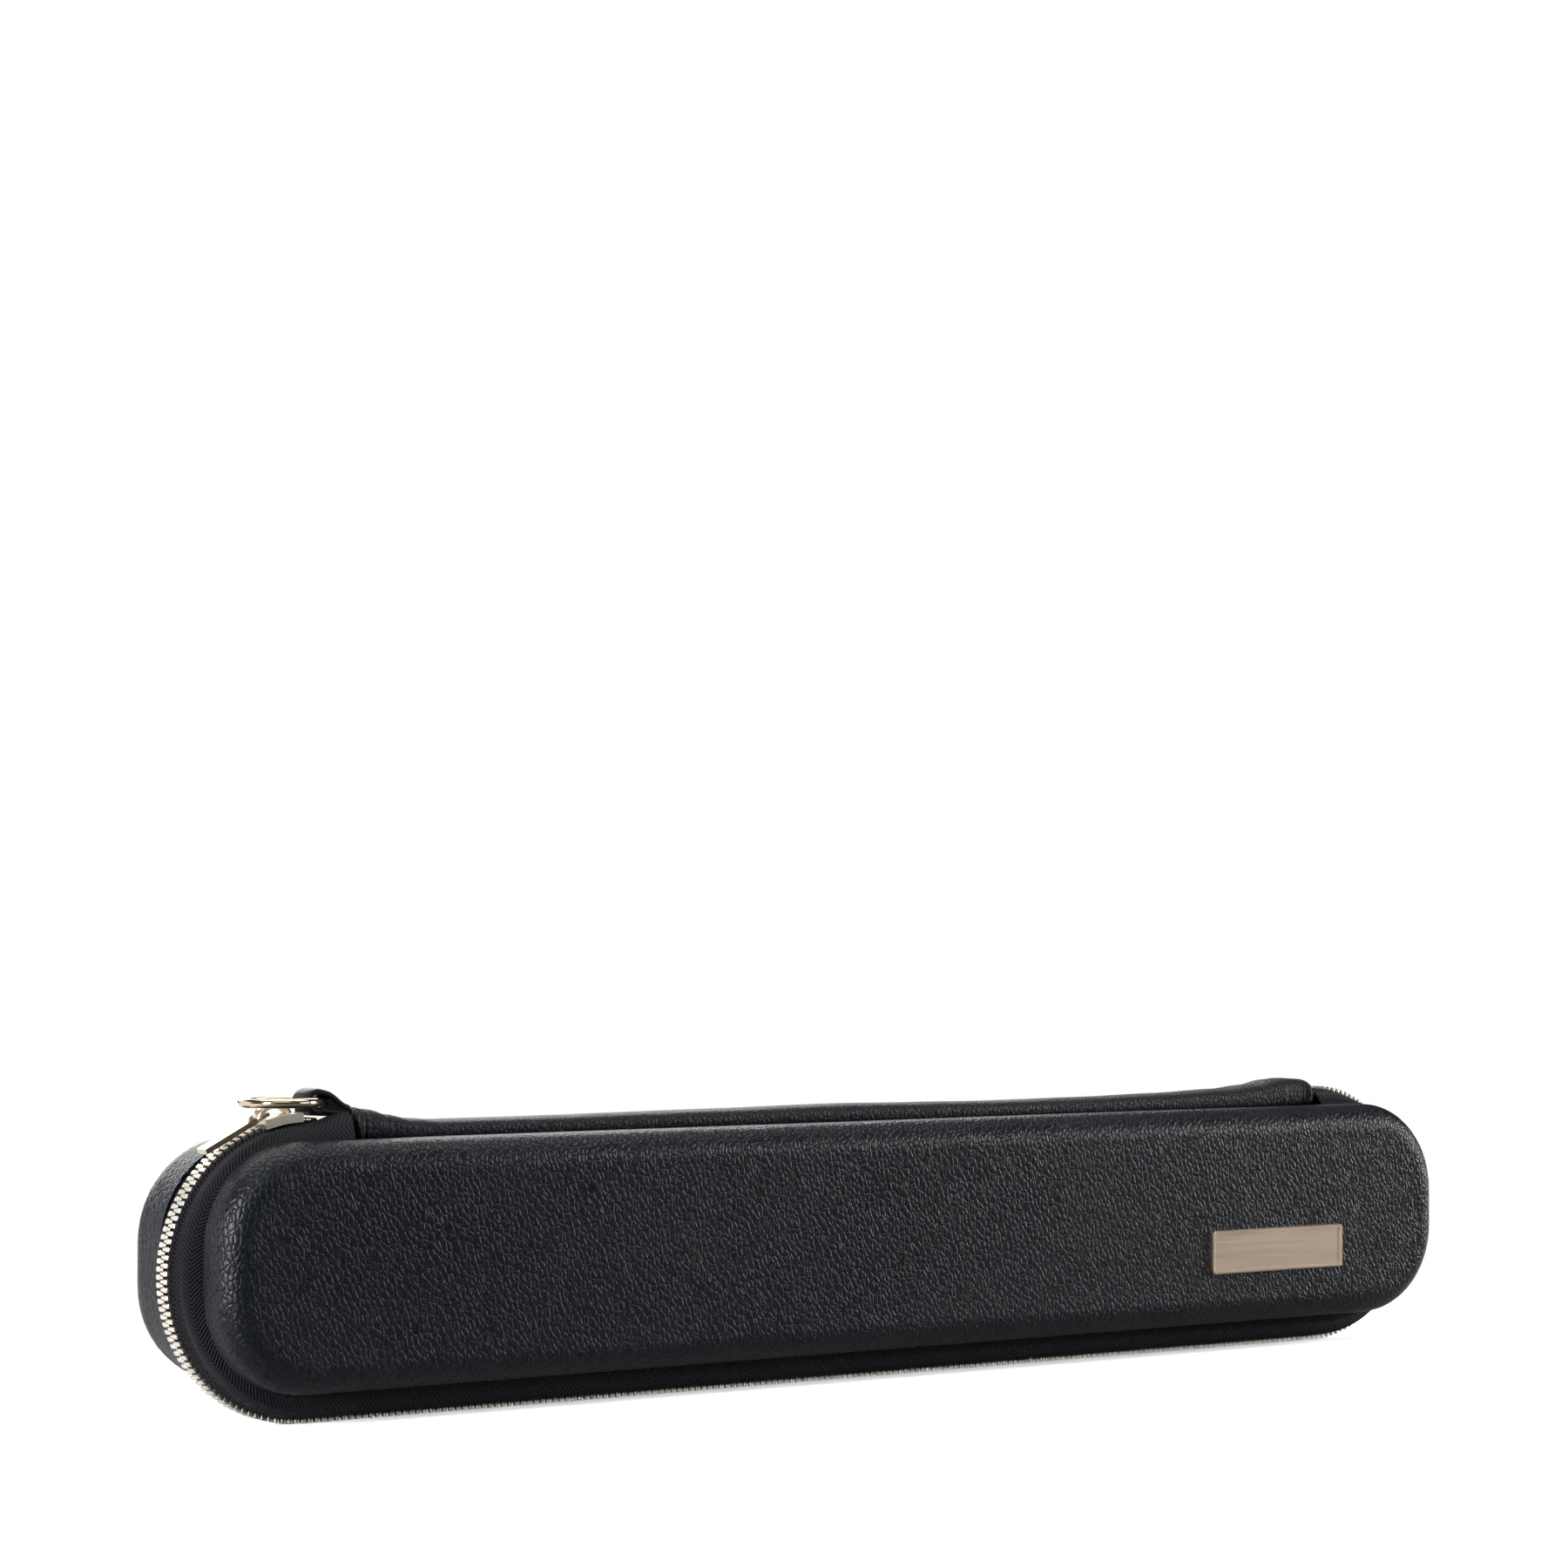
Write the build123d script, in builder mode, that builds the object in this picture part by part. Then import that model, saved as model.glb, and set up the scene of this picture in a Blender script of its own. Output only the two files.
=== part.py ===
from build123d import *
from math import cos, pi, radians, sin
import os

# Baton case: two leather covered trays, zipped together all round and hinged
# on a leather spine along the top. It stands on its long zipped side.
# X runs along the case, Y through its thickness (front is -Y) and Z is up.
os.makedirs("parts", exist_ok=True)

FRONT = -1
REAR = 1

# Overall sizes, taken over the outer faces of the zip teeth
case_long = 496.0
case_high = 88.0
front_deep = 26.0
rear_deep = 32.5
plate_proud = 1.3
end_round = case_high / 2
end_x = case_long / 2 - end_round
mid_z = case_high / 2
# The zip's middle plane, placed so that the whole case is centred on Y = 0
zip_y = (front_deep + plate_proud - rear_deep) / 2

# Raised trays
tray_inset = 6.5
tray_long = case_long - 2 * tray_inset
tray_low = 10.0
tray_top = case_high - 6.0
tray_corner = 30.0
tray_edge = 8.5
tray_high = tray_top - tray_low
tray_mid = (tray_top + tray_low) / 2
leather = 1.2
board = 2.0
plush = 1.3
cover_rim = 12.6
board_rim = 11.2

# Zip chain: teeth of both sides mesh on the middle plane
tooth_high = 2.4
tooth_out = 3.0
tooth_mesh = 0.6
tooth_wide = 0.85
bead_from = 1.3
bead_low = 1.2
chain_pitch = 2.3
bottom_teeth = round(2 * end_x / chain_pitch)
pitch = 2 * end_x / bottom_teeth
end_teeth = round(pi * end_round / chain_pitch)
end_step = 180.0 / end_teeth

# Zip tape: flat beside the teeth, then bulging out to the tray's rim
tape_thick = 1.0
tape_in = 1.3
tape_flat = 5.8
tape_belly = 8.6
belly_in = 2.9
tape_edge = 10.2
edge_in = 5.0
nearly_round = 0.25
tape_gap = 2.0
stop_off = 3.0
stop_long = 2.0
stop_in = 0.4
stop_edge = 0.5

# Spine strip along the top, with the two hinge lines it swings on
spine_left = -case_long / 2 + 59.5
spine_right = case_long / 2 - 50.0
spine_half = 8.5
spine_low = case_high - 7.5
spine_edge = 2.2
waist_drop = 1.7
middle_drop = 1.1
flare_rise = 2.2
tab_long = 12.0
tab_half = 9.2
tab_foot = 0.6
tab_crest = 2.9
tab_tip_rise = {"left": 2.6, "right": 0.6}
tab_base_rise = {"left": 0.8, "right": 2.8}
tab_edge = 2.0
web_off = 14.0
web_thick = 1.0
core_half = 6.0
core_low = spine_low + 1.5
core_high = spine_low + 4.1

# Ring at the carrying end and the leather loop that holds it
ring_wire = 1.35
ring_round = 10.8
loop_x = spine_left - 10.8
loop_z = case_high + 4.6
loop_inner = 2.5
loop_outer = 4.0
loop_half = 4.8
strap_start = 0.9
strap_sink = 0.1
strap_top_drop = 2.3
strap_foot_drop = 5.2
ring_seat = 0.5
ring_x = loop_x - ring_round + ring_seat

# Slider on the left end's chain, and its pull
slide_gap = 0.3
slider_from = 1.0
slider_to = 17.0
slider_half = 5.3
lip_from = 3.6
slider_plate = 1.3
bridge_from = 4.6
bridge_to = 16.8
bridge_half = 1.6
bridge_foot = 1.9
bridge_clear = 2.0
bridge_thick = 0.7
bar_round = 0.5
bar_turn = 14.2
eye_inner = 1.9
eye_outer = 3.2
pull_half = 2.5
pull_thick = 1.6
pull_long = 22.0
pull_eye = 3.3
pull_droop = 27.0
eye_thick = 0.9
eye_end = 0.6
neck_long = 1.8

# Nameplate on the front tray
plate_x = tray_long / 2 - 78.5
plate_z = 34.6
plate_long = 60.0
plate_high = 14.4
plate_rim = 1.1
plate_corner = 0.8
plate_edge = 0.35
field_corner = 0.5
field_deep = 0.35
pin_round = 0.8

# Inside: baton rests, straps and the lid's pad
rest_x = tray_long / 2 - 91.5
rest_long = 36.0
rest_deep = 14.0
rest_low = tray_low + 9.0
rest_top = tray_top - 9.0
rest_edge = 3.0
notch_in = 13.5
notch_z = (rest_low + notch_in, rest_top - notch_in)
grip_notch = 10.0
shaft_notch = 3.0
strap_x = rest_x - 54.0
strap_wide = 20.0
strap_thick = 1.2
strap_low = rest_low
strap_top = rest_top
strap_rise = 13.0
strap_tab = 9.0
strap_lean = 4.0
strap_fold = 0.8
rivet_in = 4.0
rivet_edge = 0.5
rivet_round = 2.6
rivet_high = 1.0
pad_long = tray_long - 53.0
pad_high = tray_high - 22.0
pad_thick = 9.0
pad_round = pad_high * 0.4
pad_soft = 4.0

deep = {FRONT: front_deep, REAR: rear_deep}
floor_in = leather + board + plush


def y_at(side, depth):
    """Y of a place that lies the given depth out from the zip's middle plane"""
    return zip_y + side * depth


def upright(y):
    """Drawing plane that faces the front, with X to the right and Z up"""
    return Plane(origin=(0, y, 0), x_dir=(1, 0, 0), z_dir=(0, -1, 0))


def polar(radius, turn):
    """X and Z of a point on the left end's rounding, turned from the top"""
    return (-end_x - radius * sin(radians(turn)), mid_z + radius * cos(radians(turn)))


def tray_block(side, inset, rim):
    """Filled tray shape, set in from the leather's outer face, its edge rounded"""
    back = deep[side] - inset
    with BuildPart() as filled:
        with BuildSketch(upright(y_at(side, rim))) as outline:
            with Locations((0, tray_mid)):
                RectangleRounded(tray_long - 2 * inset, tray_high - 2 * inset, tray_corner - inset)
        extrude(outline.sketch, amount=-side * (back - rim))
        fillet(filled.faces().sort_by(Axis.Y)[0 if side == FRONT else -1].edges(), tray_edge - inset)
    return filled.part


def tray_layer(side, inset, thick, rim):
    """One layer of a tray, dished, with its open side to the zip"""
    with BuildPart() as layer:
        add(tray_block(side, inset, rim))
        add(tray_block(side, inset + thick, rim), mode=Mode.SUBTRACT)
    return layer.part


def ring_outline(inset):
    """Rounded outline of the zip band, set in from the teeth's outer faces"""
    low = inset
    top = case_high - inset
    with BuildSketch(upright(0)) as outline:
        with Locations((0, (low + top) / 2)):
            RectangleRounded(case_long - 2 * low, top - low, (top - low) / 2 - nearly_round)
    return outline.sketch


def band_shape(side, extra):
    """Solid inside the zip band, from beside the teeth out to the tray's rim"""
    faces = []
    for depth, inset in ((tape_flat, tape_in), (tape_belly, belly_in), (tape_edge, edge_in)):
        outline = ring_outline(inset + extra)
        faces.append(outline.moved(Location((0, y_at(side, depth), 0))))
    with BuildPart() as shape:
        first = faces[0].moved(Location((0, side * (tooth_out - tape_flat), 0)))
        extrude(first, amount=-side * (tape_flat - tooth_out))
        loft(faces)
    return shape.part


def zip_tape(side):
    """Woven zip tape of one side, open along the top where the spine is"""
    with BuildPart() as tape:
        add(band_shape(side, 0))
        add(band_shape(side, tape_thick), mode=Mode.SUBTRACT)
        flange_in = leather + board
        hole_size = (tray_long - 2 * flange_in, tray_high - 2 * flange_in)
        flange = ring_outline(edge_in).moved(Location((0, y_at(side, tape_edge), 0)))
        extrude(flange, amount=-side * (board_rim - tape_edge))
        with BuildSketch(upright(y_at(side, tape_edge))) as hole:
            with Locations((0, tray_mid)):
                RectangleRounded(*hole_size, tray_corner - flange_in)
        extrude(hole.sketch, amount=-side * (board_rim - tape_edge), mode=Mode.SUBTRACT)
        with BuildSketch(upright(y_at(side, 0))) as gap:
            with Locations(((spine_left + spine_right) / 2, case_high)):
                Rectangle(spine_right - spine_left + 2 * tape_gap, case_high / 2)
        extrude(gap.sketch, amount=-side * deep[side], mode=Mode.SUBTRACT)
    return tape.part


def teeth_run(side, outline, spots):
    """A run of zip teeth joined by the tape's corded edge"""
    bead = outline.moved(Location((0, y_at(side, bead_from), 0)))
    teeth = spots.moved(Location((0, y_at(side, -tooth_mesh), 0)))
    with BuildPart() as run:
        extrude(bead, amount=-side * (tooth_out - bead_from))
        extrude(teeth, amount=-side * (tooth_out + tooth_mesh))
    return run.part


def bottom_run(side):
    """The straight run of teeth that the case stands on"""
    middle = tooth_high / 2
    with BuildSketch(upright(0)) as bead:
        with Locations((0, (tooth_high + bead_low) / 2)):
            Rectangle(2 * end_x, tooth_high - bead_low)
    count = bottom_teeth if side == REAR else bottom_teeth - 1
    with BuildSketch(upright(0)) as spots:
        with Locations((0, middle)):
            with GridLocations(pitch, 1, count, 1):
                Rectangle(tooth_wide, tooth_high)
    return teeth_run(side, bead.sketch, spots.sketch)


def sector(hand, low, high, start, stop):
    """Band of a ring round one end of the case, its turns counted from the top"""
    first = 90 - hand * start
    sweep = -hand * (stop - start)
    centre = (hand * end_x, mid_z)
    with BuildSketch(upright(0)) as band:
        with BuildLine():
            inner = CenterArc(centre, low, first, sweep)
            outer = CenterArc(centre, high, first, sweep)
            Line(inner @ 0, outer @ 0)
            Line(inner @ 1, outer @ 1)
        make_face()
    return band.sketch


def end_run(side, hand, first, last):
    """Teeth round one end, from one tooth number to another, counted from the top"""
    shift = 0.5 if side == REAR else 0.0
    count = last - first
    start = 90 - hand * (first + 0.5 + shift) * end_step
    bead = sector(hand, end_round - tooth_high, end_round - bead_low, first * end_step, last * end_step)
    with BuildSketch(upright(0)) as spots:
        with Locations((hand * end_x, mid_z)):
            with PolarLocations(end_round - tooth_high / 2, count, start, -hand * end_step * count):
                Rectangle(tooth_high, tooth_wide)
    return teeth_run(side, bead, spots.sketch)


def block(x_range, y_range, z_range):
    """Plain block between two corners"""
    size = [high - low for low, high in (x_range, y_range, z_range)]
    centre = [(high + low) / 2 for low, high in (x_range, y_range, z_range)]
    return Pos(*centre) * Box(*size, mode=Mode.PRIVATE)


def face_block(side):
    """Block over the flat part of a tray's face, inside its rounded edge"""
    with BuildPart() as flat:
        with BuildSketch(upright(y_at(side, board_rim))) as outline:
            with Locations((0, tray_mid)):
                RectangleRounded(tray_long - 2 * tray_edge, tray_high - 2 * tray_edge, tray_corner - tray_edge)
        extrude(outline.sketch, amount=-side * (deep[side] - board_rim))
    return flat.part


# Trays: a leather cover over a face board and a moulded wall, lined with plush
pin_spots = [(plate_x + a, plate_z) for a in (-plate_long / 3, plate_long / 3)]

for side, name in ((FRONT, "front"), (REAR, "rear")):
    for layer_name, inset, thick, rim in (
        ("cover", 0.0, leather, cover_rim),
        ("shell", leather, board, board_rim),
        ("lining", leather + board, plush, board_rim),
    ):
        with BuildPart() as layer:
            add(tray_layer(side, inset, thick, rim))
            if side == FRONT and layer_name != "lining":
                with BuildSketch(upright(y_at(side, cover_rim))) as holes:
                    with Locations(*pin_spots):
                        Circle(pin_round)
                extrude(holes.sketch, amount=front_deep - cover_rim, mode=Mode.SUBTRACT)
        if layer_name == "shell":
            with BuildPart() as wall:
                add(layer.part)
                add(face_block(side), mode=Mode.SUBTRACT)
            wall.part.label = f"{name}_shell_wall"
            export_step(wall.part, f"parts/{name}_shell_wall.step")
            with layer:
                add(face_block(side), mode=Mode.INTERSECT)
        layer.part.label = f"{name}_{layer_name}"
        export_step(layer.part, f"parts/{name}_{layer_name}.step")

# Zip tapes; the front one's end by the slider flexes as the lid opens
tail_teeth = 16
tail_x = polar(end_round, tail_teeth * end_step)[0]
tail_zone = block((tail_x, spine_left), (-case_high, case_high), (mid_z, 2 * case_high))

rear_tape = zip_tape(REAR)
rear_tape.label = "rear_tape"
export_step(rear_tape, "parts/rear_tape.step")

with BuildPart() as front_tape:
    add(zip_tape(FRONT))
    add(tail_zone, mode=Mode.SUBTRACT)
front_tape.part.label = "front_tape"
export_step(front_tape.part, "parts/front_tape.step")

with BuildPart() as front_tape_end:
    add(zip_tape(FRONT))
    add(tail_zone, mode=Mode.INTERSECT)
front_tape_end.part.label = "front_tape_end"
export_step(front_tape_end.part, "parts/front_tape_end.step")

# Teeth rows
for side, name in ((FRONT, "front"), (REAR, "rear")):
    bottom = bottom_run(side)
    bottom.label = f"{name}_teeth_bottom"
    export_step(bottom, f"parts/{name}_teeth_bottom.step")
    right = end_run(side, 1, 0, end_teeth - (1 if side == REAR else 0))
    right.label = f"{name}_teeth_right"
    export_step(right, f"parts/{name}_teeth_right.step")
    left_from = tail_teeth if side == FRONT else 0
    left = end_run(side, -1, left_from, end_teeth - (1 if side == REAR else 0))
    left.label = f"{name}_teeth_left"
    export_step(left, f"parts/{name}_teeth_left.step")

front_teeth_end = end_run(FRONT, -1, 0, tail_teeth)
front_teeth_end.label = "front_teeth_end"
export_step(front_teeth_end, "parts/front_teeth_end.step")

# Metal stops where the chain ends under the spine's left end
stop_from = -end_x + stop_off
stop_to = stop_from + stop_long
for side, name in ((FRONT, "front"), (REAR, "rear")):
    near, far = sorted((y_at(side, stop_in), y_at(side, tooth_out)))
    with BuildPart() as stop:
        add(block((stop_from, stop_to), (near, far), (case_high - tooth_high, case_high)))
        fillet(stop.edges().filter_by(Axis.Y), stop_edge)
    stop.part.label = f"{name}_zip_stop"
    export_step(stop.part, f"parts/{name}_zip_stop.step")

# Spine: a padded leather strip whose stitched ends stand up a little
with BuildSketch(upright(0)) as spine_outline:
    with BuildLine():
        low_line = Line((spine_left + tab_long, spine_low), (spine_right - tab_long, spine_low))
        top_line = Spline(
            (spine_left + tab_long, case_high),
            (spine_left + 2.6 * tab_long, case_high - waist_drop),
            (spine_left / 2, case_high - waist_drop),
            (0, case_high - middle_drop),
            (spine_right / 3, case_high - waist_drop),
            (spine_right * 0.7, case_high - middle_drop),
            (spine_right - tab_long, case_high + flare_rise),
        )
        Line(low_line @ 0, top_line @ 0)
        Line(low_line @ 1, top_line @ 1)
    make_face()

core_box = block(
    (spine_left + tab_long + 2, spine_right - tab_long - 2),
    (zip_y - core_half, zip_y + core_half),
    (core_low, core_high),
)
with BuildPart() as spine_cover:
    extrude(spine_outline.sketch.moved(Location((0, zip_y + spine_half, 0))), amount=2 * spine_half)
    fillet(spine_cover.edges().filter_by(GeomType.BSPLINE), spine_edge)
    add(core_box, mode=Mode.SUBTRACT)
spine_cover.part.label = "spine_cover"
export_step(spine_cover.part, "parts/spine_cover.step")

core_box.label = "spine_core"
export_step(core_box, "parts/spine_core.step")

for name, start, tip in (
    ("left", spine_left + tab_long, spine_left),
    ("right", spine_right - tab_long, spine_right),
):
    middle = (start + tip) / 2
    base_top = case_high + tab_base_rise[name]
    tip_top = case_high + tab_tip_rise[name]
    with BuildPart() as spine_end:
        with BuildSketch(upright(zip_y + tab_half)) as tab:
            with BuildLine():
                foot = Line((start, spine_low - tab_foot), (tip, spine_low - tab_foot))
                crest = ThreePointArc((start, base_top), (middle, case_high + tab_crest), (tip, tip_top))
                Line(foot @ 0, crest @ 0)
                Line(foot @ 1, crest @ 1)
            make_face()
        extrude(tab.sketch, amount=2 * tab_half)
        fillet(spine_end.edges().filter_by(Axis.Z), tab_edge)
    spine_end.part.label = f"spine_end_{name}"
    export_step(spine_end.part, f"parts/spine_end_{name}.step")

# Thin leather webs that join the spine to the trays' rims
web_low = tray_top - leather
for side, name in ((FRONT, "front"), (REAR, "rear")):
    ends = sorted((y_at(side, spine_half), y_at(side, cover_rim)))
    web = block((spine_left + web_off, spine_right - web_off), ends, (web_low, web_low + web_thick))
    web.label = f"hinge_web_{name}"
    export_step(web, f"parts/hinge_web_{name}.step")

# Leather loop folded round the ring
with BuildPart() as leather_loop:
    with BuildSketch(upright(zip_y + loop_half)) as loop_shape:
        with Locations((loop_x, loop_z)):
            Circle(loop_outer)
        with BuildLine():
            Polyline(
                (loop_x + strap_start, loop_z + loop_outer - strap_sink),
                (spine_left, loop_z - strap_top_drop),
                (spine_left, loop_z - strap_foot_drop),
                (loop_x + strap_start, loop_z - loop_outer + strap_sink),
                close=True,
            )
        make_face()
        with Locations((loop_x, loop_z)):
            Circle(loop_inner, mode=Mode.SUBTRACT)
    extrude(loop_shape.sketch, amount=2 * loop_half)
leather_loop.part.label = "leather_loop"
export_step(leather_loop.part, "parts/leather_loop.step")

with BuildPart() as carry_ring:
    with Locations((ring_x, zip_y, loop_z)):
        Torus(ring_round, ring_wire)
carry_ring.part.label = "carry_ring"
export_step(carry_ring.part, "parts/carry_ring.step")

# Slider: two curved plates that follow the chain, with lips beside the teeth
plate_low = end_round + slide_gap
lip_low = end_round - tape_in + slide_gap
under_high = end_round - tooth_high - slide_gap


def across(outline, half):
    """Solid of an outline in the X and Z plane, the same width both sides of the zip"""
    return extrude(outline.moved(Location((0, zip_y + half, 0))), amount=2 * half)


with BuildPart() as slider_body:
    add(across(sector(-1, plate_low, plate_low + slider_plate, slider_from, slider_to), slider_half))
    lips = sector(-1, lip_low, plate_low, slider_from, slider_to)
    for side in (FRONT, REAR):
        lip_y = y_at(side, (lip_from + slider_half) / 2)
        half = (slider_half - lip_from) / 2
        add(extrude(lips.moved(Location((0, lip_y + half, 0))), amount=2 * half))
slider_body.part.label = "slider_body"
export_step(slider_body.part, "parts/slider_body.step")

slider_under = across(sector(-1, under_high - slider_plate, under_high, slider_from, slider_to), slider_half)
slider_under.label = "slider_underplate"
export_step(slider_under, "parts/slider_underplate.step")

bridge_low = plate_low + slider_plate
bridge_high = bridge_low + bridge_clear
arch = sector(-1, bridge_low, bridge_high + bridge_thick, bridge_from, bridge_to)
arch_hole = sector(-1, bridge_low, bridge_high, bridge_from + bridge_foot, bridge_to - bridge_foot)
with BuildPart() as slider_bridge:
    add(across(arch, bridge_half))
    add(across(arch_hole, bridge_half), mode=Mode.SUBTRACT)
slider_bridge.part.label = "slider_bridge"
export_step(slider_bridge.part, "parts/slider_bridge.step")

# Pull: an eye round the bridge's bar, then the flat tab
bar_x, bar_z = polar(bridge_low + bridge_clear / 2, bar_turn)
eye_y = (eye_inner + eye_outer) / 2
with BuildPart() as pull_tab:
    with Locations(Location((bar_x, zip_y, bar_z), (0, -pull_droop, 0))):
        Cylinder(bar_round, 2 * eye_outer, rotation=(90, 0, 0))
        with Locations((-pull_eye / 2 - eye_end, eye_y, 0), (-pull_eye / 2 - eye_end, -eye_y, 0)):
            Box(pull_eye + 4 * eye_end, eye_outer - eye_inner, eye_thick)
        with Locations((-(pull_eye + pull_long) / 2, 0, 0)):
            Box(pull_long - pull_eye, 2 * pull_half, pull_thick)
        with Locations((-pull_eye - neck_long / 2, 0, 0)):
            Box(neck_long, 2 * eye_outer, eye_thick)
pull_tab.part.label = "pull_tab"
export_step(pull_tab.part, "parts/pull_tab.step")
print("pull pivot", bar_x, zip_y, bar_z)

# Nameplate, left bare, with a raised rim and two pins through the tray
plate_y = y_at(FRONT, front_deep)
with BuildPart() as nameplate:
    with BuildSketch(upright(plate_y)) as plate:
        with Locations((plate_x, plate_z)):
            RectangleRounded(plate_long, plate_high, plate_corner)
    extrude(plate.sketch, amount=plate_proud)
    chamfer(nameplate.faces().sort_by(Axis.Y)[0].edges(), plate_edge)
    with BuildSketch(upright(plate_y - plate_proud)) as field:
        with Locations((plate_x, plate_z)):
            RectangleRounded(plate_long - 2 * plate_rim, plate_high - 2 * plate_rim, field_corner)
    extrude(field.sketch, amount=-field_deep, mode=Mode.SUBTRACT)
nameplate.part.label = "nameplate"
export_step(nameplate.part, "parts/nameplate.step")

with BuildPart() as nameplate_pins:
    with BuildSketch(upright(plate_y)) as pins:
        with Locations(*pin_spots):
            Circle(pin_round)
    extrude(pins.sketch, amount=-(leather + board))
nameplate_pins.part.label = "nameplate_pins"
export_step(nameplate_pins.part, "parts/nameplate_pins.step")

# Baton rests: foam blocks on the rear tray's lining, notched for grips and for shafts
rest_floor = rear_deep - floor_in
for name, hand, notch in (("left", -1, grip_notch), ("right", 1, shaft_notch)):
    near = y_at(REAR, rest_floor - rest_deep)
    with BuildPart() as rest:
        add(block(
            (hand * rest_x - rest_long / 2, hand * rest_x + rest_long / 2),
            (near, y_at(REAR, rest_floor)),
            (rest_low, rest_top),
        ))
        with Locations(*[Location((hand * rest_x, near, z), (0, 90, 0)) for z in notch_z]):
            Cylinder(notch, 2 * rest_long, mode=Mode.SUBTRACT)
        fillet(rest.edges().filter_by(Axis.Y), rest_edge)
    rest.part.label = f"baton_rest_{name}"
    export_step(rest.part, f"parts/baton_rest_{name}.step")

# Elastic straps: flat ends riveted to the lining's floor, a flat bow between them
strap_floor = y_at(REAR, rest_floor)
for name, hand in (("left", -1), ("right", 1)):
    with BuildPart() as strap:
        with BuildSketch(Plane.YZ.offset(hand * strap_x - strap_wide / 2)) as strap_line:
            with BuildLine():
                top = strap_floor - strap_rise
                Polyline(
                    (strap_floor, strap_low),
                    (strap_floor, strap_low + strap_tab),
                    (top + strap_thick, strap_low + strap_tab + strap_lean),
                    (top + strap_thick, strap_top - strap_tab - strap_lean),
                    (strap_floor, strap_top - strap_tab),
                    (strap_floor, strap_top),
                    (strap_floor - strap_thick, strap_top),
                    (strap_floor - strap_thick, strap_top - strap_tab + strap_fold),
                    (top, strap_top - strap_tab - strap_lean + strap_fold),
                    (top, strap_low + strap_tab + strap_lean - strap_fold),
                    (strap_floor - strap_thick, strap_low + strap_tab - strap_fold),
                    (strap_floor - strap_thick, strap_low),
                    close=True,
                )
            make_face()
        extrude(strap_line.sketch, amount=strap_wide)
    strap.part.label = f"elastic_strap_{name}"
    export_step(strap.part, f"parts/elastic_strap_{name}.step")

rivet_y = strap_floor - strap_thick
rivet_face = rivet_y - rivet_high
rivet_spots = [(hand * strap_x, z) for hand in (-1, 1) for z in (strap_low + rivet_in, strap_top - rivet_in)]
with BuildPart() as strap_rivets:
    with BuildSketch(upright(rivet_y)) as heads:
        with Locations(*rivet_spots):
            Circle(rivet_round)
    extrude(heads.sketch, amount=rivet_high)
    fillet(strap_rivets.faces().filter_by_position(Axis.Y, rivet_face, rivet_face).edges(), rivet_edge)
strap_rivets.part.label = "strap_rivets"
export_step(strap_rivets.part, "parts/strap_rivets.step")

# Padded lining of the lid, facing the batons
pad_floor = y_at(FRONT, front_deep - floor_in)
with BuildPart() as lid_pad:
    with BuildSketch(upright(pad_floor)) as pad:
        with Locations((0, tray_mid)):
            RectangleRounded(pad_long, pad_high, pad_round)
    extrude(pad.sketch, amount=-pad_thick)
    fillet(lid_pad.faces().sort_by(Axis.Y)[-1].edges(), pad_soft)
lid_pad.part.label = "lid_pad"
export_step(lid_pad.part, "parts/lid_pad.step")
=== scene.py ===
import bpy
import bmesh
from math import atan2, ceil, cos, hypot, pi, radians, sin
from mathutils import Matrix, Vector


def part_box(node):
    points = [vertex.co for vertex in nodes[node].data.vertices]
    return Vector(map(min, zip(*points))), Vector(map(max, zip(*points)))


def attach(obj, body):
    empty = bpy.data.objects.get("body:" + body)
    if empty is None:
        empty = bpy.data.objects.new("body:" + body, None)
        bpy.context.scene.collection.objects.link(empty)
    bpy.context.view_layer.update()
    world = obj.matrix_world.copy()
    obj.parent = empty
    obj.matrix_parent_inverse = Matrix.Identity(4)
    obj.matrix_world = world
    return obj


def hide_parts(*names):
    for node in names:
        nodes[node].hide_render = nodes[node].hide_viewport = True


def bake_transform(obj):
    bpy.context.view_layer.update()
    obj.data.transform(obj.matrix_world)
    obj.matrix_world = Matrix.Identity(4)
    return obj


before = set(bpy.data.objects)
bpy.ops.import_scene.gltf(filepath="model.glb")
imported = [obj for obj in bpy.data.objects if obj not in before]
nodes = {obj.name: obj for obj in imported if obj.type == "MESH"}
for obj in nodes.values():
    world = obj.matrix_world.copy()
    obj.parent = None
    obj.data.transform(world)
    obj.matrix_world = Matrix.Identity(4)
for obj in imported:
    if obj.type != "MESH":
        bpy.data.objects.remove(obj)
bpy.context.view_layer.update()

# Camera: it stands in front of the case's ring end, a little above its top edge, and
# looks slightly upwards with a long lens. Its place was fitted to the zip's teeth.
LENS = 94.0
CAMERA_AT = (-0.8101, -1.03615, 0.1423)
TILT_UP = 2.047
TURN_RIGHT = 37.16
camera = bpy.data.objects.new("camera", bpy.data.cameras.new("camera"))
bpy.context.scene.collection.objects.link(camera)
camera.data.sensor_width = 36.0
camera.data.lens = LENS
camera.data.clip_start = 0.05
camera.location = CAMERA_AT
camera.rotation_euler = (radians(90 + TILT_UP), 0, -radians(TURN_RIGHT))
bpy.context.scene.camera = camera

# Boards: two shallow trays of dark fibre board, each a flat face glued into a moulded
# wall. They give the case its shape, and only their rims show when it is open.


def material(name, colour, rough, metallic=0.0):
    """New node material; returns it with its tree and its main shader"""
    made = bpy.data.materials.new(name)
    made.use_nodes = True
    shader = made.node_tree.nodes["Principled BSDF"]
    shader.inputs["Base Color"].default_value = (*colour, 1)
    shader.inputs["Roughness"].default_value = rough
    shader.inputs["Metallic"].default_value = metallic
    return made, made.node_tree, shader


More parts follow.
